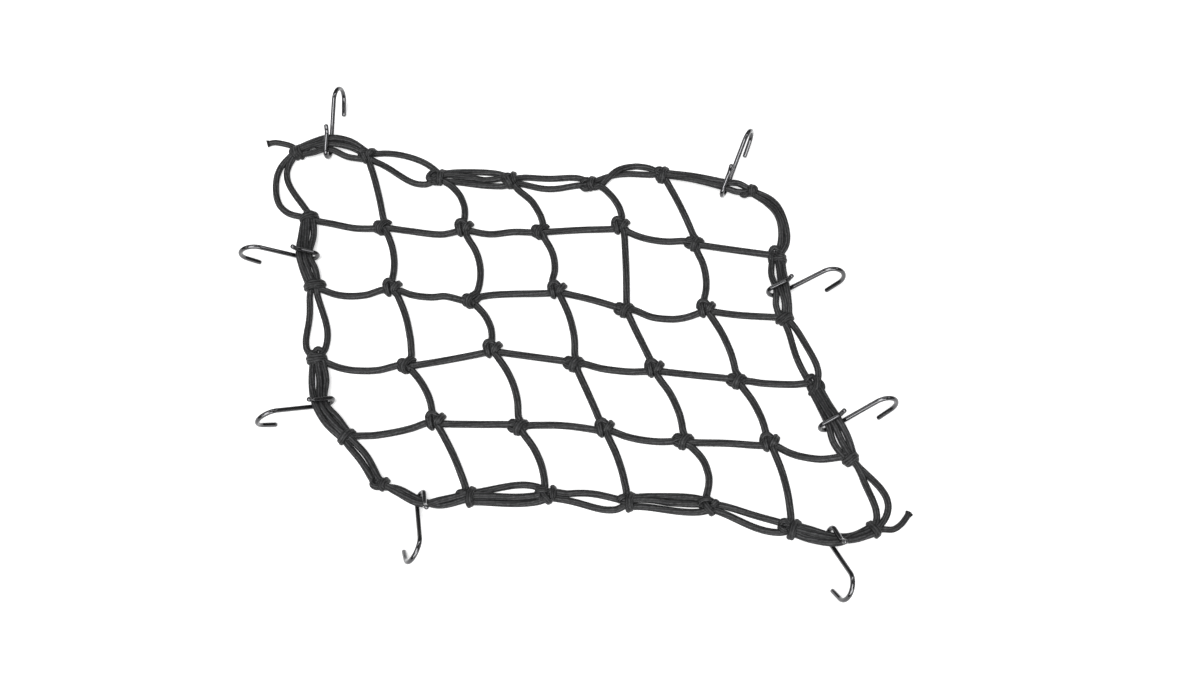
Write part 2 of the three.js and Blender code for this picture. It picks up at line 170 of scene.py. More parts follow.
def knittedSheath():
    mat = bpy.data.materials.new("knittedSheath")
    mat.use_nodes = True
    tree = mat.node_tree
    skin = tree.nodes["Principled BSDF"]
    coords = node(tree, "ShaderNodeTexCoord")

    def noise(scale, detail, roughness):
        made = node(tree, "ShaderNodeTexNoise", Scale=scale, Detail=detail, Roughness=roughness)
        tree.links.new(coords.outputs["Object"], made.inputs["Vector"])
        return made.outputs[0]

    uv = node(tree, "ShaderNodeUVMap", uv_map="wrap")
    split = node(tree, "ShaderNodeSeparateXYZ")
    tree.links.new(uv.outputs[0], split.inputs[0])
    around, along = split.outputs[0], split.outputs[1]
    turned = calc(tree, "ADD", around, calc(tree, "MULTIPLY", along, sheath["twist"]))
    wander = noise(sheath["wanderScale"], 2, 0.5)
    turned = calc(tree, "ADD", turned, calc(tree, "MULTIPLY", wander, sheath["wander"]))
    ribs = calc(tree, "MULTIPLY", turned, sheath["ribs"])
    across = calc(tree, "FRACT", ribs)
    rib = calc(tree, "SINE", calc(tree, "MULTIPLY", across, math.pi))
    # the stitches of a rib lean towards its middle from both sides
    aside = calc(tree, "ABSOLUTE", calc(tree, "SUBTRACT", across, 0.5))
    lean = calc(tree, "MULTIPLY", aside, sheath["stitchLean"])
    rise = calc(tree, "ADD", calc(tree, "MULTIPLY", along, sheath["stitches"]), lean)
    stitch = calc(tree, "SINE", calc(tree, "MULTIPLY", calc(tree, "FRACT", rise), math.pi))
    # the knit's ridges give the bump and also the colour: painted shade in the grooves between ribs and
    # stitches, lighter on the crests
    crest = calc(tree, "POWER", rib, sheath["ribEdge"])
    knitAndGrooveShade = calc(tree, "MULTIPLY", crest, calc(tree, "ADD", calc(tree, "MULTIPLY", stitch, 0.5), 0.5))
    worn = node(tree, "ShaderNodeTexWhiteNoise", noise_dimensions="1D")
    tree.links.new(calc(tree, "FLOOR", ribs), worn.inputs["W"])
    wear = calc(tree, "MULTIPLY", worn.outputs[0], sheath["wearSpread"])
    wear = calc(tree, "ADD", wear, sheath["wearLeast"])
    clouds = calc(tree, "MULTIPLY", noise(sheath["cloudScale"], 5, 0.7), sheath["cloudGain"])
    fade = calc(tree, "ADD", clouds, sheath["cloudLevel"])
    # painted shade: the colour goes dark in the knit's grooves, and its lighter tone varies at random with
    # wear and clouds
    shade = node(tree, "ShaderNodeMix", data_type="RGBA", blend_type="MIX")
    shade.inputs[6].default_value = sheath["dark"]
    shade.inputs[7].default_value = sheath["light"]
    tree.links.new(calc(tree, "MULTIPLY", calc(tree, "MULTIPLY", knitAndGrooveShade, wear), fade), shade.inputs[0])
    pick = node(tree, "ShaderNodeMapRange", clamp=True)
    pick.inputs["From Min"].default_value = sheath["fleckFrom"]
    pick.inputs["From Max"].default_value = sheath["fleckTo"]
    tree.links.new(noise(sheath["fleckScale"], 3, 0.7), pick.inputs[0])
    fleck = node(tree, "ShaderNodeMix", data_type="RGBA", blend_type="MIX")
    fleck.inputs[7].default_value = sheath["fleck"]
    tree.links.new(calc(tree, "MULTIPLY", pick.outputs[0], sheath["fleckShare"]), fleck.inputs[0])
    tree.links.new(shade.outputs[2], fleck.inputs[6])
    tree.links.new(fleck.outputs[2], skin.inputs["Base Color"])
    bump = node(tree, "ShaderNodeBump", Strength=sheath["relief"], Distance=sheath["reliefDepth"])
    tree.links.new(knitAndGrooveShade, bump.inputs["Height"])
    tree.links.new(bump.outputs[0], skin.inputs["Normal"])
    skin.inputs["Roughness"].default_value = sheath["roughness"]
    skin.inputs["Specular IOR Level"].default_value = sheath["specular"]
    return mat


plating = {
    "color": (0.055, 0.055, 0.058, 1), "metallic": 0.85, "coat": 0.6, "coatRoughness": 0.05,
    "roughFrom": 0.07, "roughTo": 0.15,
    "streakScale": 90, "relief": 0.15, "reliefDepth": 0.0001,  # metres
}


def blackPlating():
    mat = bpy.data.materials.new("blackPlating")
    mat.use_nodes = True
    tree = mat.node_tree
    skin = tree.nodes["Principled BSDF"]
    coords = node(tree, "ShaderNodeTexCoord")
    streaks = node(tree, "ShaderNodeTexNoise", Scale=plating["streakScale"], Detail=3, Roughness=0.5)
    tree.links.new(coords.outputs["Object"], streaks.inputs["Vector"])
    rough = node(tree, "ShaderNodeMapRange", clamp=True)
    rough.inputs["To Min"].default_value = plating["roughFrom"]
    rough.inputs["To Max"].default_value = plating["roughTo"]
    tree.links.new(streaks.outputs[0], rough.inputs[0])
    tree.links.new(rough.outputs[0], skin.inputs["Roughness"])
    bump = node(tree, "ShaderNodeBump", Strength=plating["relief"], Distance=plating["reliefDepth"])
    tree.links.new(streaks.outputs[0], bump.inputs["Height"])
    tree.links.new(bump.outputs[0], skin.inputs["Normal"])
    skin.inputs["Base Color"].default_value = plating["color"]
    skin.inputs["Metallic"].default_value = plating["metallic"]
    skin.inputs["Coat Weight"].default_value = plating["coat"]
    skin.inputs["Coat Roughness"].default_value = plating["coatRoughness"]
    return mat


sheathMat = knittedSheath()
platingMat = blackPlating()


# a cord is a grid rolled up round its path

def smoothLine(points, step=1.6):
    # through all the points, turning at each the way its two neighbours lie
    points = [Vector(p) for p in points]
    line = [points[0]]
    for index in range(len(points) - 1):
        a, b = points[index], points[index + 1]
        reach = (b - a).length / 3
        before = points[max(index - 1, 0)]
        after = points[min(index + 2, len(points) - 1)]
        leave = (b - before).normalized() * reach
        arrive = (after - a).normalized() * reach
        count = max(2, round((b - a).length / step)) + 1
        line += interpolate_bezier(a, a + leave, b - arrive, b, count)[1:]
    return line


creaseAngle = 0.4  # how far round the cord the dent of a pressed turn reaches, in radians


def rollCord(bm, line, radius, sides=16, outward=(0, 0, 1), crease=0.0, flat=1.0, heart=None):
    # line and radius in millimetres on the lattice; crease is the dent along the outward side,
    # and a turn round a heart keeps that side away from it
    uvLayer = bm.loops.layers.uv.verify()
    rings = len(line)
    grid = bmesh.ops.create_grid(bm, x_segments=sides, y_segments=rings - 1, size=0.5, calc_uvs=True)
    normal = Vector(outward)
    ups, acrosses = [], []
    for index in range(rings):
        tangent = (line[min(index + 1, rings - 1)] - line[max(index - 1, 0)]).normalized()
        if heart:
            normal = line[index] - heart
        normal = (normal - normal.dot(tangent) * tangent).normalized()
        ups.append(normal)
        acrosses.append(tangent.cross(normal))
    travelled = [0.0]
    for index in range(1, rings):
        travelled.append(travelled[-1] + (line[index] - line[index - 1]).length)
    for vert in grid["verts"]:
        ring = round((vert.co.y + 0.5) * (rings - 1))
        angle = (vert.co.x + 0.5) * 2 * math.pi
        off = min(angle, 2 * math.pi - angle)
        reach = radius * (1 - crease * math.exp(-((off / creaseAngle) ** 2)))
        tall, wide = math.cos(angle) * reach * flat, math.sin(angle) * reach / flat
        vert.co = spot(*(line[ring] + ups[ring] * tall + acrosses[ring] * wide))
    for face in {f for v in grid["verts"] for f in v.link_faces}:
        for loop in face.loops:
            u, v = loop[uvLayer].uv
            loop[uvLayer].uv = (u, v * travelled[-1] / (2 * math.pi * radius))
    ends = [v for v in grid["verts"] if v.is_boundary]
    bmesh.ops.remove_doubles(bm, verts=ends, dist=1e-7)


def capEnds(bm):
    bmesh.ops.holes_fill(bm, edges=[e for e in bm.edges if e.is_boundary], sides=0)


def finishPiece(name, bm, mat, replaced):
    bmesh.ops.recalc_face_normals(bm, faces=bm.faces)
    mesh = bpy.data.meshes.new(name)
    bm.to_mesh(mesh)
    bm.free()
    mesh.uv_layers[0].name = "wrap"
    for poly in mesh.polygons:
        poly.use_smooth = True
    mesh.materials.append(mat)
    piece = bpy.data.objects.new(name, mesh)
    bpy.context.collection.objects.link(piece)
    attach(piece, "root")
    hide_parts(replaced)
    return piece


# inKnot is a cord's height where it goes into a knot, atHeart where it ends inside
cord = {"radius": 2.75, "inKnot": 4.4, "atHeart": 3.9, "rampUp": 13}

# how far each knot has strayed from the even lattice
knotDrift = [
    {"row": "top", "x": [1, -3, -5, -9, -7, -11, -2], "y": [8, 9, -7, -6, -4, 11, -1]},
    {"row": "second", "x": [0, -2, 0, 0, 1, -2, 1], "y": [4, -1, 3, 5, 15, 4, -3]},
    {"row": "third", "x": [-7, -8, -7, -3, -12, -11, -12], "y": [0, 2, -4, 10, -2, 3, 0]},
    {"row": "fourth", "x": [-15, -8, -6, -5, -6, -5, -9], "y": [-5, -7, 12, 5, 5, 0, 1]},
    {"row": "fifth", "x": [-5, -1, 0, 2, -1, 1, -2], "y": [-12, 5, 6, 9, 4, 7, 0]},
    {"row": "bottom", "x": [7, 10, 6, 3, 1, -2, -4], "y": [8, 3, 10, 9, 11, -2, 2]},
]


def knotPlace(row, column):
    down, across = row - 2.5, column - 3  # from the middle of the lattice
    x = across * layout["columnPitch"] + down * layout["rowLean"] + knotDrift[row]["x"][column]
    y = -down * layout["rowPitch"] - across * layout["columnFall"] + knotDrift[row]["y"][column]
    return Vector((x, y, 0))


def beside(a, b, share, offset, height):
    # the place at a share of the run from a to b, and so far to its left
    run = b - a
    left = Vector((-run.y, run.x, 0)).normalized()
    return a + run * share + left * offset + Vector((0, 0, height))


# each cord's bows: how far along its run, and how far to its left there
rowCords = [
    {"row": 1, "bows": [
        [(0.3, -2), (0.63, -3.2)], [(0.27, -1.3), (0.71, -4.7)], [(0.35, -3.1), (0.67, 0)],
        [(0.49, 0.4)], [(0.12, -2.6), (0.49, -4.3), (0.84, 0.6)], [(0.49, 0.7)]]},
    {"row": 2, "bows": [
        [(0.11, -3.1), (0.48, -7.5), (0.89, -0.9)], [(0.11, -0.3), (0.37, -2.1), (0.67, 1.3)],
        [(0.11, 3), (0.34, 3.6)],
        [(0.49, 1.6)], [(0.1, 0.3), (0.58, -7.8), (0.9, -3.3)], [(0.43, -0.7)]]},
    {"row": 3, "bows": [
        [(0.08, -2.7), (0.44, -7.2), (0.92, 0.5)], [(0.5, -0.7)], [(0.46, 0.7)],
        [(0.11, 0.8), (0.58, -2.8), (0.89, -2.1)], [(0.51, 0.7)],
        [(0.11, 0.7), (0.56, 0.1), (0.93, 1.6)]]},
    {"row": 4, "bows": [
        [(0.1, -1), (0.55, -2.6), (0.92, 0.4)], [(0.5, 0.6)],
        [(0.1, 1.2), (0.48, 2.7), (0.91, -0.8)],
        [(0.1, -0.5), (0.47, -3.6), (0.9, -0.8)], [(0.51, -0.2)],
        [(0.1, -1.1), (0.4, -5.3), (0.91, -0.1)]]},
]
columnCords = [
    {"column": 1, "bows": [
        [(0.07, 0.6), (0.4, 2), (0.85, 1.8)], [(0.12, 3), (0.54, 5.1), (0.85, 1.5)],
        [(0.09, 3.5), (0.66, 6.5), (0.9, 4.2)],
        [(0.08, 1.4), (0.52, 4.7), (0.84, 1.8)], [(0.12, 1.7), (0.52, 3), (0.88, 1.5)]]},
    {"column": 2, "bows": [
        [(0.2, 5.9), (0.59, 8.8), (0.83, 4.4)], [(0.11, 2.4), (0.48, 9.6), (0.87, 5.4)],
        [(0.09, 1.6), (0.54, 6.2), (0.84, 2.7)],
        [(0.1, 2.6), (0.49, 7), (0.88, 2.5)], [(0.11, 1.5), (0.52, 5.1), (0.88, 1.2)]]},
    {"column": 3, "bows": [
        [(0.17, 1.8), (0.71, 7), (0.88, 4.9)], [(0.12, 1.7), (0.48, 4.7), (0.84, -1.3)],
        [(0.1, 2.5), (0.55, 5.6), (0.88, 2.4)],
        [(0.11, 0.6), (0.51, 0.6), (0.86, 0.2)], [(0.1, 1.3), (0.57, 3.4), (0.89, 1.4)]]},
    {"column": 4, "bows": [
        [(0.12, 6.2), (0.59, 9.7), (0.85, 6)], [(0.08, 3), (0.5, 3), (0.88, 2)],
        [(0.09, 1.2), (0.49, 1.2), (0.86, 1.2)],
        [(0.1, 1), (0.6, 5.6), (0.89, 2.7)], [(0.1, 3.7), (0.57, 8.3), (0.85, 0.8)]]},
    {"column": 5, "bows": [
        [(0.11, 1.5), (0.6, 3.1), (0.89, 2.3)], [(0.09, 0.9), (0.48, 4.7), (0.88, -0.4)],
        [(0.09, 1.9), (0.59, 4.9), (0.88, 2.3)],
        [(0.1, 1.6), (0.57, 4.2), (0.85, 1.7)], [(0.08, 1.9), (0.56, 4.2), (0.9, 1.2)]]},
]


# where the cords come out of an inner knot, by the way it is tied
crossKnots = [(1, 5), (2, 4), (3, 3), (3, 5), (4, 2), (4, 4)]
roundKnots = [(1, 1), (1, 3), (2, 2), (3, 1)]
gates = {
    "arch": {"left": (-3, -2), "right": (3.5, -1.6), "top": (0, 4.5), "bottom": (2.2, -2.6)},
    "cross": {"left": (-4, 1.4), "right": (3.5, -1.3), "top": (1.6, 3.4), "bottom": (2.4, -3)},
    "round": {"left": (-3, -0.8), "right": (3, -0.2), "top": (0.8, 4.5), "bottom": (2, -3)},
    "rim": {"left": (-1.5, 0.5), "right": (1.5, -2.2), "top": (-1.8, 3), "bottom": (2.4, -3)},
}


def knotStyle(row, column):
    if row in (0, 5) or column in (0, 6):
        return "rim"
    return "cross" if (row, column) in crossKnots else "round" if (row, column) in roundKnots else "arch"


def gate(row, column, side):
    x, y = gates[knotStyle(row, column)][side]
    return knotPlace(row, column) + Vector((x, y, cord["inKnot"]))


def evenArc(bows):
    # one even arc through all the bows, each a share of the cord's run and a place to its left
    if len(bows) < 3:
        return bows
    shares = [share for share, offset in bows]
    middles = [(a + b) / 2 for a, b in zip(shares, shares[1:])]
    arc = []
    for at in sorted(shares + middles):
        place = 0
        for share, offset in bows:
            weight = 1
            for other in shares:
                if other != share:
                    weight *= (at - other) / (share - other)
            place += offset * weight
        arc.append((at, place))
    return arc


def meshCord(bm, start, end, sides, bows):
    a, b = knotPlace(*start), knotPlace(*end)
    points = [a + Vector((0, 0, cord["atHeart"])), gate(*start, sides[0])]
    for share, offset in evenArc(bows):
        away = min(share, 1 - share) * (b - a).length
        lift = max(0.0, 1 - away / cord["rampUp"]) * (cord["inKnot"] - cord["radius"])
        points.append(beside(a, b, share, offset, cord["radius"] + lift))
    points += [gate(*end, sides[1]), b + Vector((0, 0, cord["atHeart"]))]
    rollCord(bm, settle(smoothLine(points), cord["radius"]), cord["radius"])


def settle(line, radius):
    # nothing lies lower than a cord on the surface
    return [Vector((p.x, p.y, max(p.z, radius))) for p in line]


def makeMesh():
    bm = bmesh.new()
    for cords in rowCords:
        for column, bows in enumerate(cords["bows"]):
            meshCord(bm, (cords["row"], column), (cords["row"], column + 1), ("right", "left"), bows)
    for cords in columnCords:
        for row, bows in enumerate(cords["bows"]):
            meshCord(bm, (row, cords["column"]), (row + 1, cords["column"]), ("bottom", "top"), bows)
    capEnds(bm)
    piece = finishPiece("meshCords", bm, sheathMat, "net")
    print("mesh cords", len(piece.data.polygons))


# the hooks: one wire, its clip end round the rim cords and its big bend at the other end
wire = {
    "diameter": 3.6, "shank": 41, "bendRadius": 10.5, "bendSweep": 172, "tipLeg": 12,
    "clipRadius": 5.4, "clipLeg": 14.5, "clipClose": 2, "flareLeg": 5.5, "flareAngle": 24,
    "clearance": 0.03,  # over the surface
    "clipSteps": 16, "bendSteps": 24, "sides": 20,
    "tipRings": (0.35, 0.7, 0.92), "tipLength": 0.8,  # a rounded end, in shares of the wire's radius
}
hookPlaces = [
    {"name": "hook_top_left", "x": -197.5, "y": 175.5, "heading": 85, "lean": 12},
    {"name": "hook_top_right", "x": 124.7, "y": 136.9, "heading": 65, "lean": 2},
    {"name": "hook_right_upper", "x": 162.5, "y": 38, "heading": 11, "lean": 8},
    {"name": "hook_right_lower", "x": 195.5, "y": -79.5, "heading": 17, "lean": 5},
    {"name": "hook_left_upper", "x": -208, "y": 71, "heading": 188, "lean": 6},
    {"name": "hook_left_lower", "x": -186, "y": -60.5, "heading": 209, "lean": 8},
    {"name": "hook_bottom_left", "x": -111, "y": -142, "heading": -81, "lean": 36},
    {"name": "hook_bottom_right", "x": 188.5, "y": -171.5, "heading": -72, "lean": 30},
]


def hookLine():
    # the wire's middle line in its own plane: x along the shank, y towards the clip's side
    w = wire
    clip, bend = [], []
    for step in range(w["clipSteps"], -1, -1):
        angle = math.radians(180 + w["clipClose"]) * step / w["clipSteps"]
        clip.append(Vector((-w["clipRadius"] * math.sin(angle), w["clipRadius"] * (1 - math.cos(angle)))))
    leg = math.radians(w["clipClose"])
    legEnd = clip[0] + Vector((math.cos(leg), -math.sin(leg))) * w["clipLeg"]
    flare = math.radians(w["flareAngle"])
    clip = [legEnd + Vector((math.cos(flare), math.sin(flare))) * w["flareLeg"], legEnd] + clip
    for step in range(w["bendSteps"] + 1):
        angle = math.radians(w["bendSweep"]) * step / w["bendSteps"]
        across = w["bendRadius"] * (math.cos(angle) - 1)
        bend.append(Vector((w["shank"] + w["bendRadius"] * math.sin(angle), across)))
    turned = math.radians(w["bendSweep"])
    bend.append(bend[-1] + Vector((math.cos(turned), -math.sin(turned))) * w["tipLeg"])
    return clip, bend


def hookFrame(place):
    # a hook rests on its clip's bend and its big bend, so its pitch is found by halving steps
    clip, bend = hookLine()
    lean = math.radians(place["lean"])

    def lowest(points, pitch):
        return min(p.x * math.sin(pitch) + p.y * math.cos(lean) * math.cos(pitch) for p in points)

    pitch, change = math.radians(30), math.radians(16)
    while change > 1e-5:
        pitch += change if lowest(bend, pitch) < lowest(clip, pitch) else -change
        change /= 2
    heading = math.radians(place["heading"])
    forward = Vector((math.cos(heading), math.sin(heading), 0))
    right = Vector((math.sin(heading), -math.cos(heading), 0))
    along = forward * math.cos(pitch) + Vector((0, 0, math.sin(pitch)))
    upright = forward * -math.sin(pitch) + Vector((0, 0, math.cos(pitch)))
    up = upright * math.cos(lean) - right * math.sin(lean)
    height = wire["diameter"] / 2 + wire["clearance"] - lowest(clip, pitch)
    origin = Vector((place["x"], place["y"], height))
    return origin, along, up


def onHook(place, x, y):
    origin, along, up = hookFrame(place)
    return origin + along * x + up * y


def makeHook(place):
    origin, along, up = hookFrame(place)
    clip, bend = hookLine()
    points = [origin + along * p.x + up * p.y for p in clip + bend]
    # the straight runs keep their stations apart, and the flare bends gently
    line = [points[0], points[0].lerp(points[1], 0.5), points[0].lerp(points[1], 0.85)]
    line += [points[1].lerp(points[2], share) for share in (0.08, 0.3, 0.6, 0.9)]
    line += points[2:len(clip)]
    line += [points[len(clip) - 1].lerp(points[len(clip)], share) for share in (0.1, 0.3, 0.5, 0.7, 0.9)]
    line += points[len(clip):-1]
    line += [points[-2].lerp(points[-1], share) for share in (0.15, 0.5, 0.85, 1)]
    bm = bmesh.new()
    rollCord(bm, line, wire["diameter"] / 2, sides=wire["sides"], outward=along.cross(up))
    capEnds(bm)
    for tipFace in [f for f in bm.faces if len(f.verts) > 4]:
        roundTip(bm, tipFace)
    finishPiece(place["name"] + "_wire", bm, platingMat, place["name"])


def roundTip(bm, face):
    # smaller and smaller rings pushed outwards make a rounded end
    radius = wire["diameter"] / 2 / 1000
    normal, centre = face.normal.copy(), face.calc_center_median()
    if normal.length < 0.5:
        bm.normal_update()
        normal = face.normal.copy()
    spokes = [(v, e.other_vert(v)) for v in face.verts for e in v.link_edges]
    inward = sum((other.co - v.co for v, other in spokes if other not in face.verts), Vector())
    if inward.dot(normal) > 0:
        normal = -normal
    for share in wire["tipRings"]:
        ring = bmesh.ops.extrude_face_region(bm, geom=[face])
        bmesh.ops.delete(bm, geom=[face], context="FACES_ONLY")
        verts = [v for v in ring["geom"] if isinstance(v, bmesh.types.BMVert)]
        face = next(f for f in ring["geom"] if isinstance(f, bmesh.types.BMFace))
        width = math.sqrt(1 - share ** 2)
        for vert in verts:
            flat = vert.co - centre
            flat -= normal * flat.dot(normal)
            ahead = normal * radius * share * wire["tipLength"]
            vert.co = centre + flat.normalized() * radius * width + ahead


for place in hookPlaces:
    makeHook(place)
print("hooks", len(hookPlaces))


# the rim, walked clockwise from the top left corner, so its outer side is on the left;
# bows at a quarter, a half and three quarters; beside a hook, halfway to it and past it.
# swapped: the first two cords trade places after the first knot; crossed: they lie in the clip
# the other way round; sunk: how far they dip under a clip's leg that leans over them
rimStretches = [
    {"from": (0, 0), "to": (0, 1), "hook": 0, "at": 0.47, "bows": [(8.5, 11), (4.3, 5.9), (-0.8, -3.1)]},
    {"from": (0, 1), "to": (0, 2), "bows": [(9.5, 11.5, 9.8), (-3.3, -8.1, -11.1)]},
    {"from": (0, 2), "to": (0, 3), "bows": [(7.2, 8.2, 8.1), (1.6, 0.3, 1.8), (-2.7, -4, -4.6)]},
    {"from": (0, 3), "to": (0, 4), "bows": [(5.4, 5.2, 6.9), (-2.9, -5, -1.8)]},
    {"from": (0, 4), "to": (0, 5), "bows": [(5.8, 6.4, 3.4), (2.1, 10.7, 11.2)]},
    {"from": (0, 5), "to": (0, 6), "hook": 1, "at": 0.72, "bows": [(2.1, 3.2), (-1.6, -4)]},
    {"from": (0, 6), "to": (1, 6), "bows": [(16.3, 17.5, 14.4), (10.9, 13.2, 9.3)]},
    {"from": (1, 6), "to": (2, 6), "hook": 2, "at": 0.6, "bows": [(2.8, 3.9), (-0.4, 0.7), (-6.6, -5.8)]},
    {"from": (2, 6), "to": (3, 6), "bows": [(6.2, 8.1, 8.8), (-1.3, -3, -2.9)]},
    {"from": (3, 6), "to": (4, 6), "hook": 3, "at": 0.55, "bows": [(2.5, 4.5), (-1.2, -0.8), (-3.8, -6.6)]},
    {"from": (4, 6), "to": (5, 6), "bows": [(8.3, 15.4, 15.6), (4, 5.8, 6.3)]},
    {"from": (5, 6), "to": (5, 5), "hook": 7, "at": 0.56, "swapped": True,
     "bows": [(7.6, 10.3), (10.2, 5.5), (5.8, 1.2)]},
    {"from": (5, 5), "to": (5, 4), "bows": [(6.4, 5.7, 2.8), (-2.9, -3, -3.7)]},
    {"from": (5, 4), "to": (5, 3), "bows": [(5.1, 4.2, 2.6), (-1.5, -1.7, -2.1), (-6.9, -6.8, -6)]},
    {"from": (5, 3), "to": (5, 2), "bows": [(7, 4.9, 2.3), (-3.6, -4.8, -3)]},
    {"from": (5, 2), "to": (5, 1), "bows": [(5.6, 5.4, 4), (1.7, 1.5, 0.1), (-9, -8.4, -5.8)]},
    {"from": (5, 1), "to": (5, 0), "hook": 6, "at": 0.57, "crossed": True, "sunk": 0.4,
     "bows": [(9.7, 1.8), (7.1, 5.6)]},
    {"from": (5, 0), "to": (4, 0), "bows": [(1.6, 0.9, 1.6), (-3.2, -4.7, -3.9)]},
    {"from": (4, 0), "to": (3, 0), "hook": 5, "at": 0.4, "bows": [(10.9, 10.3), (6.2, 4.3), (0.4, -0.6)]},
    {"from": (3, 0), "to": (2, 0), "bows": [(8.4, 5.5, 4), (-8.1, -7.5, -3.9)]},
    {"from": (2, 0), "to": (1, 0), "hook": 4, "at": 0.41, "bows": [(7.2, 6.4), (3.2, 2.1), (-2.4, -3)]},
    {"from": (1, 0), "to": (0, 0), "bows": [(20.5, 22, 18), (4, 10, 10.6)]},
]
rim = {
    "radius": 2.6, "pressed": 0.95,  # cords that press on each other keep this share of their width
    "lane": 3.5, "climbInKnot": 1.6,  # side by side in a knot, every second one higher
    "firstInClip": 1.3, "clipSpacing": 4.6, "clipLift": 0.2,
}


def stacked(bows, index, step):
    # every second cord climbs on its neighbours where they leave it no room
    if index % 2 == 0:
        return 0
    beneath = [bows[near][step] for near in (index - 1, index + 1) if near < len(bows)]
    gap = min(abs(bows[index][step] - other) for other in beneath)
    return math.sqrt(max(0, (2 * rim["radius"] * rim["pressed"]) ** 2 - gap ** 2))


def throughClip(stretch, a, b, index, bows, lifts):
    at, sunk = stretch["at"], stretch.get("sunk", 0)
    slot = index if "crossed" in stretch else len(stretch["bows"]) - 1 - index
    alongShank = rim["firstInClip"] + slot * rim["clipSpacing"]
    inClip = onHook(hookPlaces[stretch["hook"]], alongShank, wire["clipRadius"] + rim["clipLift"] - sunk)
    rise = (cord["inKnot"] + inClip.z) / 2
    before = beside(a, b, at / 2, bows[0], rise + lifts[0] / 2 - 2 * sunk)
    after = beside(a, b, (1 + at) / 2, bows[1], rise + lifts[1] / 2)
    return [before, inClip, after]


def makeRim():
    bm = bmesh.new()
    for stretch in rimStretches:
        a, b = knotPlace(*stretch["from"]), knotPlace(*stretch["to"])
        count = len(stretch["bows"])
        lanes = [((count - 1) / 2 - index) * rim["lane"] for index in range(count)]
        leaving = [lanes[index] for index in ((1, 0, 2) if "swapped" in stretch else range(count))]
        quarters = (0.25, 0.5, 0.75)
        arcs = [evenArc([(0, lane), *zip(quarters, bows), (1, lane)])[1:-1]
                for lane, bows in zip(lanes, stretch["bows"])]
        places = [bows if "hook" in stretch else [offset for share, offset in arc]
                  for bows, arc in zip(stretch["bows"], arcs)]
        for index, bows in enumerate(places):
            lifts = [stacked(places, index, step) for step in range(len(bows))]
            knotHeight = cord["inKnot"] + rim["climbInKnot"] * (index % 2)
            if "hook" in stretch:
                run = throughClip(stretch, a, b, index, bows, lifts)
            else:
                run = [beside(a, b, share, offset, rim["radius"] + lift)
                       for (share, offset), lift in zip(arcs[index], lifts)]
            first = beside(a, b, 0, leaving[index], knotHeight)
            last = beside(a, b, 1, lanes[index], knotHeight)
            rollCord(bm, settle(smoothLine([first, *run, last]), rim["radius"]), rim["radius"])
    capEnds(bm)
    piece = finishPiece("rimCords", bm, sheathMat, "net")
    print("rim cords", len(piece.data.polygons))


# turns of cord that make up the knots: a band lies over all, a strand under it, then a loop and a lump;
# x is to the right and y away from the knot's middle, as they look from 60 degrees up
turnKinds = {
    "band": {"radius": 2.5, "top": 9.4, "flat": 0.86, "crease": 0.26},
    "strand": {"radius": 2.4, "top": 8.6, "flat": 0.92, "crease": 0.16},
    "loop": {"radius": 2.2, "top": 7.6, "flat": 1, "crease": 0.1},
    "lump": {"radius": 2.15, "top": 5.8, "flat": 1, "crease": 0},
}
innerKnots = {
    "arch": [
        ("loop", [(-5.1, 1.6), (-5.1, 4.8), (-3.5, 7.2), (-0.8, 7.2), (1.5, 5.0), (2.2, 2.0)]),
        ("strand", [(-3.2, 4.2), (-3.7, 0.8), (-3.2, -2.8), (-2.2, -5.6)]),
        ("band", [(0.9, -2.6), (2.5, -0.2), (4.3, 2.4), (6.0, 4.6)]),
    ],
    "cross": [
        ("lump", [(-6.6, -1.4), (-5.2, -3.0), (-2.8, -3.4), (-0.6, -2.4)]),
        ("loop", [(-6.6, 1.4), (-5.0, 4.0), (-2.4, 3.4), (-0.4, 0.8)]),
        ("band", [(-1.0, -6.4), (-1.4, -3.4), (0.2, 0.4), (2.8, 3.0), (6.0, 2.6)]),
    ],
    "round": [
        ("lump", [(-5.8, -1.2), (-5.0, -3.2), (-2.6, -4.2)]),
        ("loop", [(-6.2, 0.8), (-5.4, 3.6), (-2.8, 4.2), (-0.6, 2.6)]),
        ("band", [(-0.4, -6.0), (-2.5, -3.8), (-2.8, -0.6), (-0.6, 3.2), (2.6, 5.8), (4.4, 4.8)]),
    ],
}
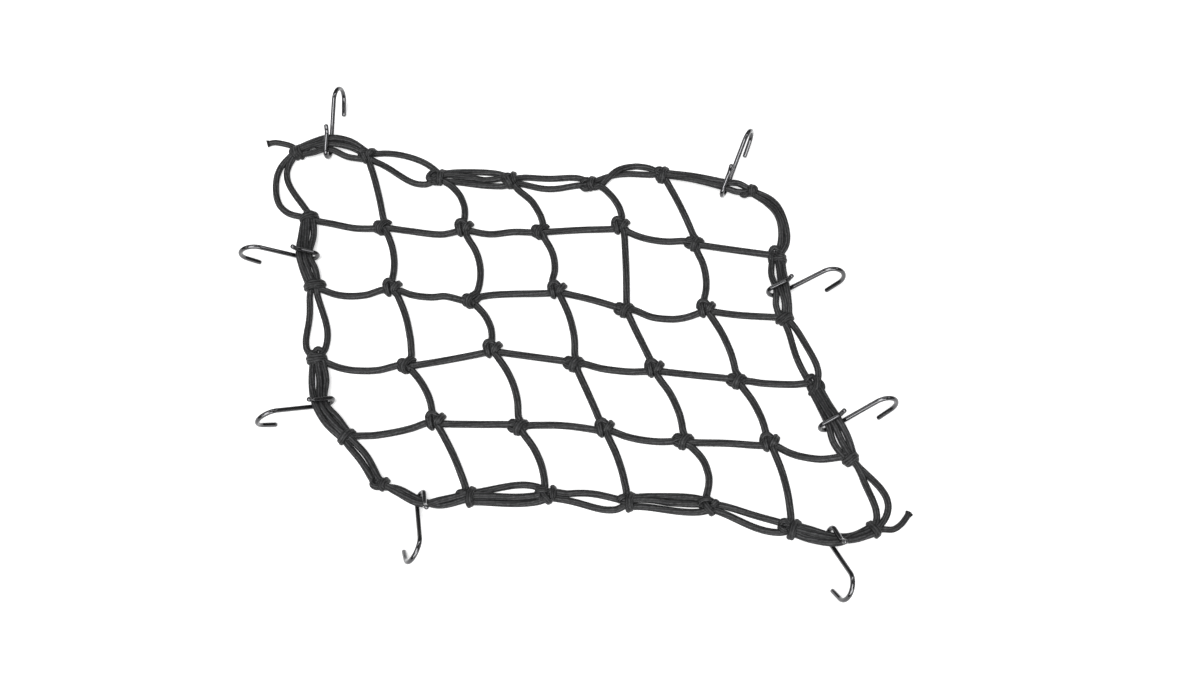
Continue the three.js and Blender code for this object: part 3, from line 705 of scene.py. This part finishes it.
rimKnots = [
    {"at": (0, 0), "turns": [
        ("lump", [(-3.2, 3.0), (-4.2, -0.2), (-3.0, -3.4)]),
        ("strand", [(2.2, 5.6), (1.6, 2.4), (3.0, -1.8), (5.2, -5.2)]),
        ("band", [(-1.6, 4.6), (-1.6, 1.2), (-0.2, -3.0), (2.0, -6.0)])]},
    {"at": (0, 1), "turns": [
        ("loop", [(-6.2, 1.6), (-5.6, 4.8), (-2.8, 5.8), (0.2, 3.8)]),
        ("strand", [(-4.0, 4.0), (-3.4, 0.4), (-2.0, -3.6), (-1.0, -6.0)]),
        ("band", [(0.8, -1.4), (1.8, 1.6), (3.6, 4.2), (5.4, 5.2)])]},
    {"at": (0, 2), "turns": [
        ("loop", [(-2.6, 4.2), (-6.2, 4.4), (-8.8, 1.2), (-8.8, -2.4), (-5.4, -3.0), (-2.0, -2.4)]),
        ("lump", [(-7.4, -1.0), (-5.4, 1.2), (-2.2, 0.8)]),
        ("lump", [(-6.0, -5.4), (-3.6, -6.4), (-1.2, -6.2)]),
        ("band", [(2.8, 5.8), (1.0, 2.6), (0.2, -2.0), (-0.4, -7.0)])]},
    {"at": (0, 3), "turns": [
        ("loop", [(-6.0, 0.6), (-5.6, 4.2), (-3.0, 5.6), (-0.2, 4.4)]),
        ("strand", [(1.8, 7.4), (1.8, 3.8), (2.4, 0.2), (2.6, -3.0)]),
        ("band", [(-4.0, 4.0), (-3.4, 0.6), (-1.6, -3.4), (-0.2, -6.0)])]},
    {"at": (0, 4), "turns": [
        ("loop", [(-6.8, 0.4), (-6.0, 3.4), (-3.2, 4.4), (-0.6, 3.6)]),
        ("lump", [(-6.6, -3.4), (-5.0, -5.2), (-2.4, -5.4), (0.2, -4.2)]),
        ("band", [(2.4, 6.2), (0.4, 3.0), (-0.2, -1.0), (1.4, -4.8)])]},
    {"at": (0, 5), "turns": [
        ("loop", [(-4.2, 0.6), (-4.0, 3.8), (-1.6, 5.0), (0.8, 3.8)]),
        ("lump", [(-3.4, -2.0), (-3.0, -5.0), (-1.4, -6.6)]),
        ("band", [(3.8, 5.2), (1.6, 2.8), (0.4, -1.8), (-0.8, -7.6)])]},
    {"at": (0, 6), "turns": [
        ("strand", [(4.2, 4.0), (3.8, 0.6), (3.2, -2.4)]),
        ("loop", [(-7.0, -1.0), (-6.8, -3.8), (-4.2, -4.6), (-2.6, -2.4), (-2.4, 0.8)]),
        ("band", [(2.4, 5.0), (1.0, 2.4), (0.2, -1.0), (0.0, -3.6)])]},
    {"at": (1, 6), "turns": [
        ("lump", [(-4.6, 1.0), (-5.6, -2.0), (-5.2, -5.0)]),
        ("loop", [(-4.4, 2.4), (-4.6, 5.6), (-2.2, 7.6), (0.4, 5.8), (1.0, 2.6)]),
        ("strand", [(-3.6, -3.6), (0.0, -3.8), (3.4, -4.2), (5.8, -4.8)]),
        ("band", [(-1.6, 1.0), (1.4, -0.6), (4.2, -1.4), (5.8, -1.8)])]},
    {"at": (2, 6), "turns": [
        ("lump", [(-3.6, 5.4), (-2.6, 2.6), (-1.6, 0.2)]),
        ("strand", [(-3.0, -4.4), (-0.6, -1.6), (2.6, 0.4), (5.6, 0.2)]),
        ("band", [(-5.6, -2.6), (-3.0, 0.0), (0.6, 2.6), (4.2, 3.6)])]},
    {"at": (3, 6), "turns": [
        ("lump", [(4.4, 3.2), (6.0, 0.6), (6.2, -2.6), (5.0, -4.6)]),
        ("loop", [(-5.0, 2.6), (-5.2, 5.4), (-3.4, 7.2), (-0.6, 7.4)]),
        ("band", [(-1.8, 7.4), (1.0, 6.2), (1.9, 2.8), (1.2, -0.8), (-0.6, -4.6), (-2.0, -8.2)])]},
    {"at": (4, 6), "turns": [
        ("lump", [(-5.2, 0.8), (-4.4, 4.0), (-2.6, 6.0)]),
        ("strand", [(-2.0, -6.0), (0.4, -3.2), (3.2, -1.4), (5.4, -1.2)]),
        ("band", [(-4.4, -3.4), (-1.6, -0.6), (1.6, 1.8), (5.2, 1.9)])]},
    {"at": (5, 6), "turns": [
        ("band", [(-3.0, 4.4), (-0.8, 1.8), (1.2, -1.6), (2.2, -5.2)])]},
    {"at": (5, 5), "turns": [
        ("lump", [(-8.0, 0.4), (-6.2, -1.8), (-3.0, -2.0)]),
        ("loop", [(-7.6, 2.6), (-6.6, 5.6), (-4.0, 5.8), (-1.8, 3.2), (-0.4, 0.4)]),
        ("band", [(5.2, 4.4), (2.6, 3.2), (0.4, 0.0), (-0.6, -4.0), (-1.2, -7.8)])]},
    {"at": (5, 4), "turns": [
        ("lump", [(-6.6, -0.6), (-4.4, 1.2), (-2.0, 1.6)]),
        ("strand", [(-4.0, 3.8), (-2.2, -0.8), (0.2, -4.2), (1.9, -6.8)]),
        ("strand", [(1.0, -0.8), (2.8, 1.6), (4.6, 2.8), (6.0, 1.6)]),
        ("band", [(-8.0, 1.6), (-6.2, 5.0), (-2.8, 6.2), (0.4, 5.4), (2.8, 2.8)])]},
    {"at": (5, 3), "turns": [
        ("loop", [(-5.8, 0.6), (-5.2, 3.4), (-2.6, 4.2), (-0.6, 2.6)]),
        ("band", [(3.6, 5.6), (1.6, 3.2), (0.9, -0.5), (1.2, -4.2), (1.6, -6.8)])]},
    {"at": (5, 2), "turns": [
        ("strand", [(4.8, 5.0), (5.2, 2.2), (4.8, -0.8), (4.0, -3.0)]),
        ("lump", [(-7.0, -1.6), (-4.6, -2.6), (-2.4, -1.6)]),
        ("strand", [(-4.0, 3.4), (-2.6, -0.2), (0.0, -3.8), (1.8, -6.6)]),
        ("band", [(-7.4, 0.6), (-6.8, 3.6), (-4.0, 4.6), (-0.8, 3.8), (1.8, 2.0)])]},
    {"at": (5, 1), "turns": [
        ("loop", [(-7.8, 1.2), (-6.4, 3.8), (-3.0, 4.4), (0.0, 3.8)]),
        ("band", [(3.8, 6.4), (2.2, 3.6), (1.4, -0.6), (1.6, -4.6), (2.2, -7.4)])]},
    {"at": (5, 0), "turns": [
        ("loop", [(-4.8, 3.4), (-5.2, 0.4), (-3.4, -1.6), (-0.4, -2.2), (2.2, -1.8)]),
        ("lump", [(-2.8, 4.0), (-0.4, 3.6), (1.8, 3.2)]),
        ("band", [(5.4, 3.2), (3.4, 1.8), (2.2, -1.0), (2.4, -3.4)])]},
    {"at": (4, 0), "turns": [
        ("lump", [(-4.0, 4.8), (-2.6, 2.6), (-1.4, 0.2)]),
        ("band", [(-3.6, -5.4), (-2.2, -2.6), (0.2, 0.8), (2.8, 3.2), (5.6, 3.0)])]},
    {"at": (3, 0), "turns": [
        ("loop", [(-2.2, 3.6), (-1.4, 6.8), (1.2, 7.8), (3.0, 5.0)]),
        ("lump", [(-7.0, 2.8), (-5.0, 4.4), (-2.8, 3.0)]),
        ("strand", [(-6.6, -3.8), (-3.0, -3.2), (1.0, -2.8), (4.2, -2.8)]),
        ("band", [(-7.4, -0.2), (-3.8, 1.0), (0.4, 0.8), (4.4, 0.4), (5.8, -0.4)])]},
    {"at": (2, 0), "turns": [
        ("strand", [(-6.2, -3.2), (-2.6, -1.6), (1.8, -0.6), (6.0, -0.8), (7.6, -1.8)]),
        ("band", [(-6.6, -0.2), (-3.0, 1.6), (1.4, 2.6), (5.6, 2.4), (7.8, 1.2)])]},
    {"at": (1, 0), "turns": [
        ("strand", [(-4.4, 1.4), (-1.6, 3.0), (1.8, 3.4), (5.0, 2.6)]),
        ("band", [(-5.2, -4.8), (-4.4, -1.4), (-1.2, 0.6), (2.6, 1.2), (6.0, 0.6)])]},
]
# the part of every knot that its turns hide
knotCore = [(-3.4, -0.8), (-1.2, -1.4), (1.2, -0.8), (3.2, 0.4)]
# seen from there, what lies higher than the level seems further away by the slope;
# each turn climbs from its foot to its top and down again
knotting = {
    "slope": 0.577, "level": 5, "foot": 2.4, "roundness": 2.6,
    "sizes": (0.97, 1.03), "girths": (0.96, 1.04), "step": 0.9, "sides": 20, "heart": (0, -1, 2.5),
}


def tieKnot(bm, place, turns, chance):
    size = chance.uniform(*knotting["sizes"])
    heart = place + Vector(knotting["heart"])
    for kind, path in [("lump", knotCore)] + turns:
        turn = turnKinds[kind]
        flatLine = smoothLine([(x * size, y * size, 0) for x, y in path], knotting["step"])
        line = []
        for index, point in enumerate(flatLine):
            share = index / (len(flatLine) - 1)
            climb = 1 - abs(2 * share - 1) ** knotting["roundness"]
            z = knotting["foot"] + (turn["top"] - knotting["foot"]) * climb
            y = point.y - knotting["slope"] * (z - knotting["level"])
            line.append(place + Vector((point.x, y, z)))
        radius = turn["radius"] * chance.uniform(*knotting["girths"])
        rollCord(bm, line, radius, knotting["sides"], crease=turn["crease"], flat=turn["flat"], heart=heart)


def makeKnots():
    chance = random.Random(7)
    bm = bmesh.new()
    for knot in rimKnots:
        tieKnot(bm, knotPlace(*knot["at"]), knot["turns"], chance)
    for row in range(1, 5):
        for column in range(1, 6):
            tieKnot(bm, knotPlace(row, column), innerKnots[knotStyle(row, column)], chance)
    capEnds(bm)
    piece = finishPiece("knots", bm, sheathMat, "net")
    print("knots", len(piece.data.polygons))


# two cut ends stick out at opposite corners, with the sheath frayed over the rubber core
tails = [
    {"knot": (0, 0), "steps": [(-4, 6.5), (-11, 9.3), (-19, 10.8), (-24.4, 9.6)]},
    {"knot": (5, 6), "steps": [(7, 1), (14, 1), (20, 5), (24, 10), (26.2, 13.2)]},
]
tail = {
    "radius": 2.35, "clearance": 0.3, "core": 1.9, "coreLength": 0.5,
    "fibres": 36, "fibreRadius": 0.32, "fibreSides": 5, "fibreLength": 0.8, "flare": 0.4,
    "rooted": 1.2,  # how far inside the sheath the fibres start
    "bendAhead": 0.2,
}


def fray(bm, line, chance):
    ahead = (line[-1] - line[-2]).normalized()
    side = ahead.cross(Vector((0, 0, 1))).normalized()
    up = side.cross(ahead)
    rollCord(bm, [line[-2], line[-1] + ahead * tail["coreLength"]], tail["core"])
    for index in range(tail["fibres"]):
        angle = 2 * math.pi * (index + chance.uniform(-0.4, 0.4)) / tail["fibres"]
        out = side * math.cos(angle) + up * math.sin(angle)
        reach = tail["radius"] * chance.uniform(0.82, 1)
        root = line[-1] + out * reach - ahead * tail["rooted"]
        spread = tail["flare"] * chance.uniform(0.2, 0.7)
        bend = line[-1] + out * (reach + spread) + ahead * tail["bendAhead"]
        way = ahead * chance.uniform(0.5, 1) + out * chance.uniform(0.1, 0.8)
        fibreTip = bend + way * tail["fibreLength"]
        fibreTip.z = max(fibreTip.z, tail["fibreRadius"])
        rollCord(bm, [root, bend, fibreTip], tail["fibreRadius"], tail["fibreSides"], outward=out)


def makeTails():
    chance = random.Random(11)
    bm = bmesh.new()
    for end in tails:
        root = knotPlace(*end["knot"])
        points = [root + Vector((0, 0, cord["inKnot"]))]
        points += [root + Vector((x, y, tail["radius"] + tail["clearance"])) for x, y in end["steps"]]
        line = smoothLine(points)
        rollCord(bm, line, tail["radius"])
        fray(bm, line, chance)
    for vert in bm.verts:
        vert.co.z = max(vert.co.z, 0)
    capEnds(bm)
    piece = finishPiece("cordEnds", bm, sheathMat, "net")
    print("cord ends", len(piece.data.polygons))


makeMesh()
makeRim()
makeKnots()
makeTails()
